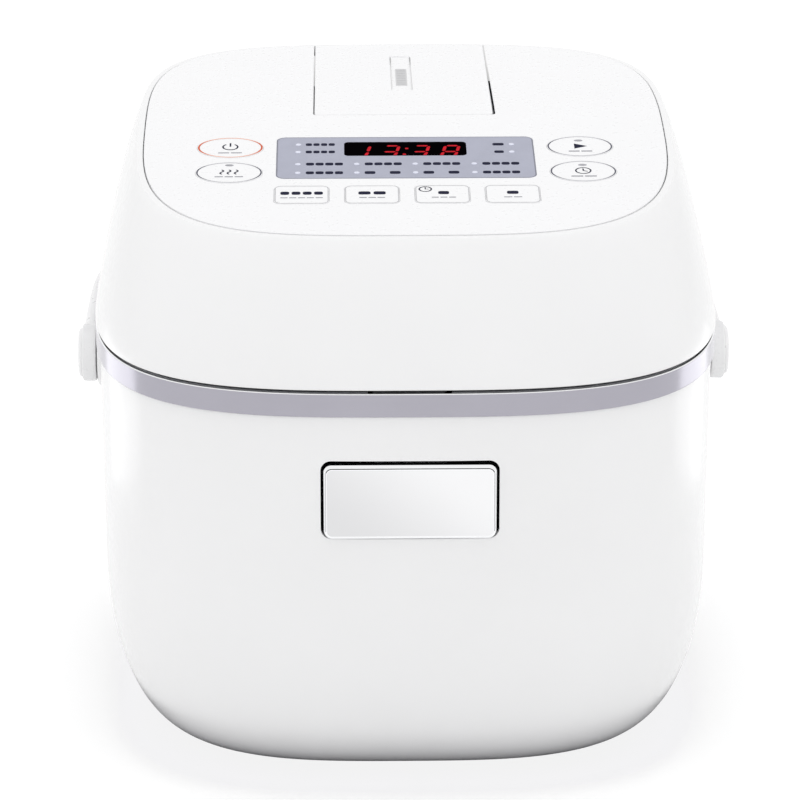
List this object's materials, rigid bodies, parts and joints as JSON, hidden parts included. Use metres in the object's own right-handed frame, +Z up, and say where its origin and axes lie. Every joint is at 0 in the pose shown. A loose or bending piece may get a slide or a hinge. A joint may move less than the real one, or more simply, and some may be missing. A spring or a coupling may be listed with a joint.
{
  "type": "rice cooker",
  "caption": "Small square-shouldered rice cooker with a hinged lid, sloping control panel, push latch, steam vent cap, carrying handle and lift-out pot inside.",
  "frame": {"origin": "centre of the cooker's whole footprint, on the table", "axes": "+Z up, -Y towards the front with the latch button, +X to the right seen from the front"},
  "size_m": [0.2286, 0.276, 0.2023],
  "materials": {
    "white_plastic": "smooth gloss",
    "panel_plastic": "smooth gloss",
    "handle_plastic": "satin",
    "silver_trim": "metallic silver paint",
    "chrome_plate": "bright plating",
    "zinc_steel": "zinc plated",
    "pot_metal": "satin",
    "cast_metal": "cast",
    "dark_plastic": "fine grain",
    "grey_plastic": "fine grain",
    "black_rubber": "matt",
    "grey_rubber": "silicone",
    "display_film": "printed film",
    "dark_lens": "smoked window",
    "led_red": "moulded",
    "circuit_board": "solder mask",
    "relay_blue": "moulded",
    "brass_pin": "plated"
  },
  "bodies": {
    "body": {"outer_case": "white_plastic", "silver_band": "silver_trim", "base_plate": "dark_plastic", "rubber_feet": "black_rubber", "base_screws": "zinc_steel", "upper_frame": "grey_plastic", "inner_liner": "zinc_steel", "inner_pot": "pot_metal", "heater_plate": "cast_metal", "liner_support": "grey_plastic", "sensor_spring": "zinc_steel", "sensor_holder": "zinc_steel", "power_board": "circuit_board", "transformer": "dark_plastic", "relay": "relay_blue", "thermal_fuse": "zinc_steel", "power_inlet": "dark_plastic", "inlet_pins": "brass_pin", "hinge_housing": "white_plastic", "hinge_pin": "zinc_steel", "latch_bezel": "white_plastic", "latch_bracket": "grey_plastic", "latch_pin": "zinc_steel", "latch_spring": "zinc_steel", "handle_seats": "white_plastic", "handle_pivots": "zinc_steel"},
    "lid": {"lid_cover": "white_plastic", "top_panel": "panel_plastic", "display_panel": "display_film", "display_lens": "dark_lens", "led_display": "led_red", "control_board": "circuit_board", "tact_switches": "dark_plastic", "board_screws": "zinc_steel", "inner_lid_frame": "grey_plastic", "inner_lid_plate": "pot_metal", "lid_gasket": "grey_rubber", "vent_well": "white_plastic", "lid_catch": "zinc_steel", "hinge_arm": "white_plastic", "hinge_spring": "zinc_steel"},
    "vent": {"vent_cap": "panel_plastic", "vent_insert": "grey_plastic", "vent_packing": "grey_rubber"},
    "latch": {"latch_button": "chrome_plate", "latch_lever": "grey_plastic"},
    "handle": {"handle_bail": "handle_plastic", "handle_caps": "handle_plastic"},
    "sensor": {"sensor_cap": "pot_metal"},
    "off": {"off_button": "panel_plastic"},
    "keep_warm": {"keep_warm_button": "panel_plastic"},
    "start": {"start_button": "panel_plastic"},
    "timer": {"timer_button": "panel_plastic"},
    "preset": {"preset_button": "panel_plastic"},
    "menu": {"menu_button": "panel_plastic"},
    "hour": {"hour_button": "panel_plastic"},
    "minute": {"minute_button": "panel_plastic"}
  },
  "joints": [
    {"name": "lid_hinge", "type": "hinge", "parent": "body", "child": "lid", "pos_m": [0, 0.1083, 0.1417], "axis": [-1, 0, 0], "range_deg": [0, 85]},
    {"name": "handle_swing", "type": "hinge", "parent": "body", "child": "handle", "pos_m": [0, -0.01, 0.116], "axis": [1, 0, 0], "range_deg": [0, 95]},
    {"name": "latch_press", "type": "hinge", "parent": "body", "child": "latch", "pos_m": [0, -0.1285, 0.0928], "axis": [-1, 0, 0], "range_deg": [0, 5], "stiffness_Nm_per_rad": 1.2, "springref_deg": -2.86, "deforming": ["latch_spring"]},
    {"name": "vent_cap_lift", "type": "slide", "parent": "lid", "child": "vent", "axis": [0, 0, 1], "range_m": [0, 0.03]},
    {"name": "sensor_push", "type": "slide", "parent": "body", "child": "sensor", "axis": [0, 0, -1], "range_m": [0, 0.002], "stiffness_N_per_m": 800, "springref_m": -0.003, "deforming": ["sensor_spring"]},
    {"name": "off_press", "type": "slide", "parent": "lid", "child": "off", "axis": [0, 0.1338, -0.991], "range_m": [0, 0.0008], "stiffness_N_per_m": 900, "springref_m": -0.0005},
    {"name": "keep_warm_press", "type": "slide", "parent": "lid", "child": "keep_warm", "axis": [0, 0.1338, -0.991], "range_m": [0, 0.0008], "stiffness_N_per_m": 900, "springref_m": -0.0005},
    {"name": "start_press", "type": "slide", "parent": "lid", "child": "start", "axis": [0, 0.1338, -0.991], "range_m": [0, 0.0008], "stiffness_N_per_m": 900, "springref_m": -0.0005},
    {"name": "timer_press", "type": "slide", "parent": "lid", "child": "timer", "axis": [0, 0.1338, -0.991], "range_m": [0, 0.0008], "stiffness_N_per_m": 900, "springref_m": -0.0005},
    {"name": "preset_press", "type": "slide", "parent": "lid", "child": "preset", "axis": [0, 0.1338, -0.991], "range_m": [0, 0.0008], "stiffness_N_per_m": 900, "springref_m": -0.0005},
    {"name": "menu_press", "type": "slide", "parent": "lid", "child": "menu", "axis": [0, 0.1338, -0.991], "range_m": [0, 0.0008], "stiffness_N_per_m": 900, "springref_m": -0.0005},
    {"name": "hour_press", "type": "slide", "parent": "lid", "child": "hour", "axis": [0, 0.1338, -0.991], "range_m": [0, 0.0008], "stiffness_N_per_m": 900, "springref_m": -0.0005},
    {"name": "minute_press", "type": "slide", "parent": "lid", "child": "minute", "axis": [0, 0.1338, -0.991], "range_m": [0, 0.0008], "stiffness_N_per_m": 900, "springref_m": -0.0005}
  ]
}
